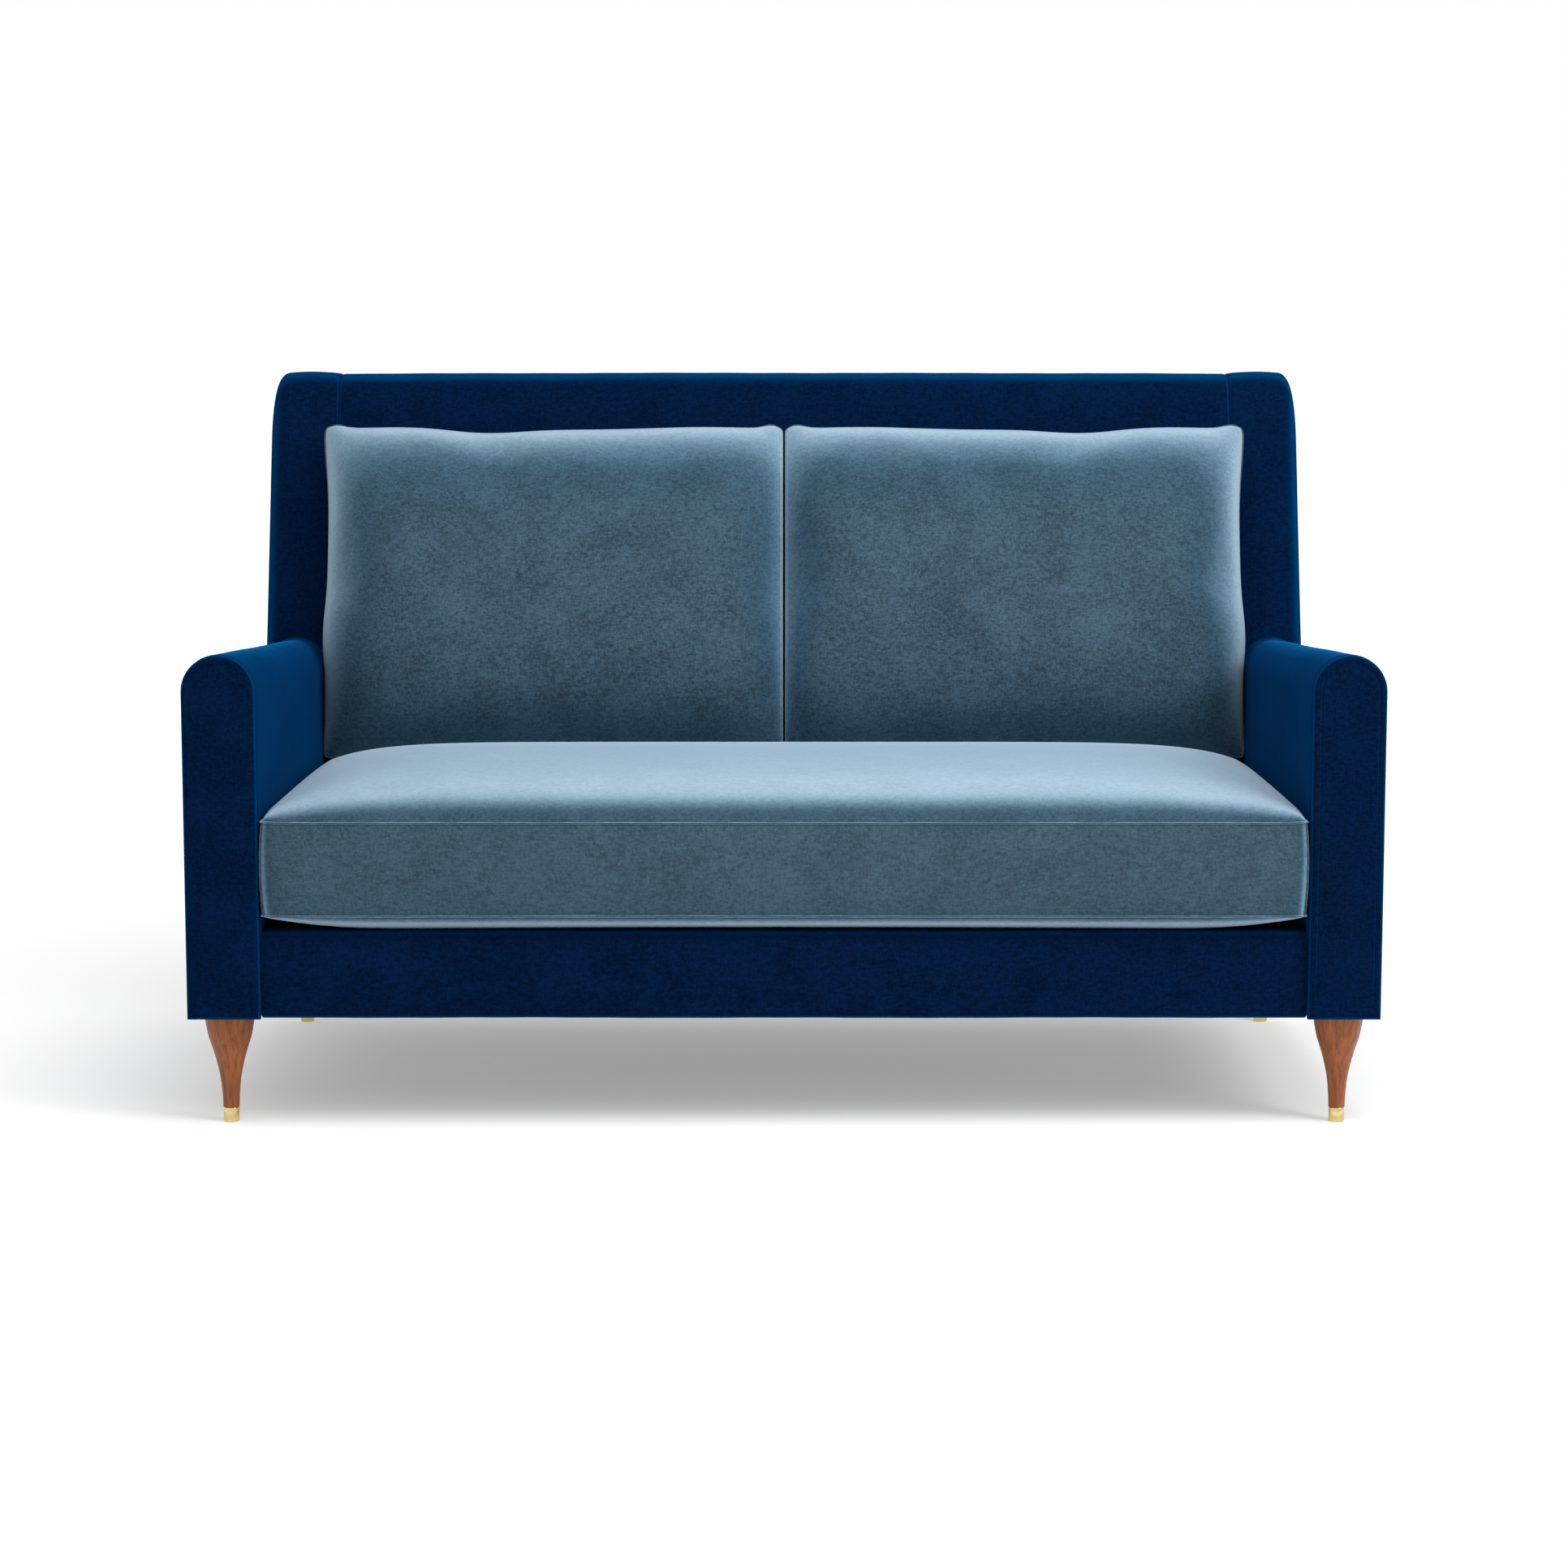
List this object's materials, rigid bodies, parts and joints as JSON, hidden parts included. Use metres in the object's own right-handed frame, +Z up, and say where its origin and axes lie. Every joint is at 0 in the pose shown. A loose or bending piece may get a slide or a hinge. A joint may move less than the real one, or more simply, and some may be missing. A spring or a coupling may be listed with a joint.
{
  "type": "high back settee",
  "caption": "Upholstered high back settee with round-topped arms, a bench seat cushion, loose back cushions and turned wooden legs in metal ferrules.",
  "frame": {"origin": "on the floor, under the middle of the settee's width and depth", "axes": "+X to the right of someone facing the settee's front, +Y towards its back, +Z up"},
  "size_m": [1.6, 0.9424, 1.013],
  "materials": {
    "navy_velvet": "navy velvet pile",
    "blue_velvet": "dusty blue velvet pile with a bright sheen",
    "walnut": "satin lacquered walnut",
    "brass": "polished",
    "steel": "plain zinc plated",
    "hardwood": "bare sawn",
    "webbing": "woven jute",
    "dust_cloth": "plain black lining cloth"
  },
  "bodies": {
    "frame": {"front_rail": "hardwood", "spring_rail": "hardwood", "rear_rail": "hardwood", "side_rail_right": "hardwood", "side_rail_left": "hardwood", "seat_stretcher": "hardwood", "arm_front_post_right": "hardwood", "arm_front_post_left": "hardwood", "arm_top_rail_right": "hardwood", "arm_top_rail_left": "hardwood", "back_post_right": "hardwood", "back_post_left": "hardwood", "back_top_rail": "hardwood", "back_tack_rail": "hardwood", "back_centre_upright": "hardwood", "back_webbing_1": "webbing", "back_webbing_2": "webbing", "back_webbing_3": "webbing", "back_webbing_4": "webbing", "seat_spring_1": "steel", "seat_spring_2": "steel", "seat_spring_3": "steel", "seat_spring_4": "steel", "seat_spring_5": "steel", "seat_spring_6": "steel", "seat_spring_7": "steel", "arm_cover_right": "navy_velvet", "arm_cover_left": "navy_velvet", "arm_facing_right": "navy_velvet", "arm_facing_left": "navy_velvet", "upright_cover_right": "navy_velvet", "upright_cover_left": "navy_velvet", "inside_back_panel": "navy_velvet", "outside_back_panel": "navy_velvet", "front_rail_cover": "navy_velvet", "seat_deck": "dust_cloth", "dust_cover": "dust_cloth", "leg_block_front_left": "hardwood", "leg_front_left": "walnut", "ferrule_front_left": "brass", "leg_bolt_front_left": "steel", "tee_nut_front_left": "steel", "leg_block_front_right": "hardwood", "leg_front_right": "walnut", "ferrule_front_right": "brass", "leg_bolt_front_right": "steel", "tee_nut_front_right": "steel", "leg_block_rear_left": "hardwood", "leg_rear_left": "walnut", "ferrule_rear_left": "brass", "leg_bolt_rear_left": "steel", "tee_nut_rear_left": "steel", "leg_block_rear_right": "hardwood", "leg_rear_right": "walnut", "ferrule_rear_right": "brass", "leg_bolt_rear_right": "steel", "tee_nut_rear_right": "steel"},
    "seat_cushion": {"seat_cushion": "blue_velvet"},
    "back_cushion_left": {"back_cushion_left": "blue_velvet"},
    "back_cushion_right": {"back_cushion_right": "blue_velvet"}
  },
  "joints": [
    {"name": "seat_cushion_slide", "type": "slide", "parent": "frame", "child": "seat_cushion", "axis": [0, -0.9945, 0.1045], "range_m": [0, 0.6]},
    {"name": "back_cushion_left_slide", "type": "slide", "parent": "frame", "child": "back_cushion_left", "axis": [0, 0.2672, 0.9636], "range_m": [0, 0.38]},
    {"name": "back_cushion_right_slide", "type": "slide", "parent": "frame", "child": "back_cushion_right", "axis": [0, 0.2672, 0.9636], "range_m": [0, 0.38]}
  ]
}
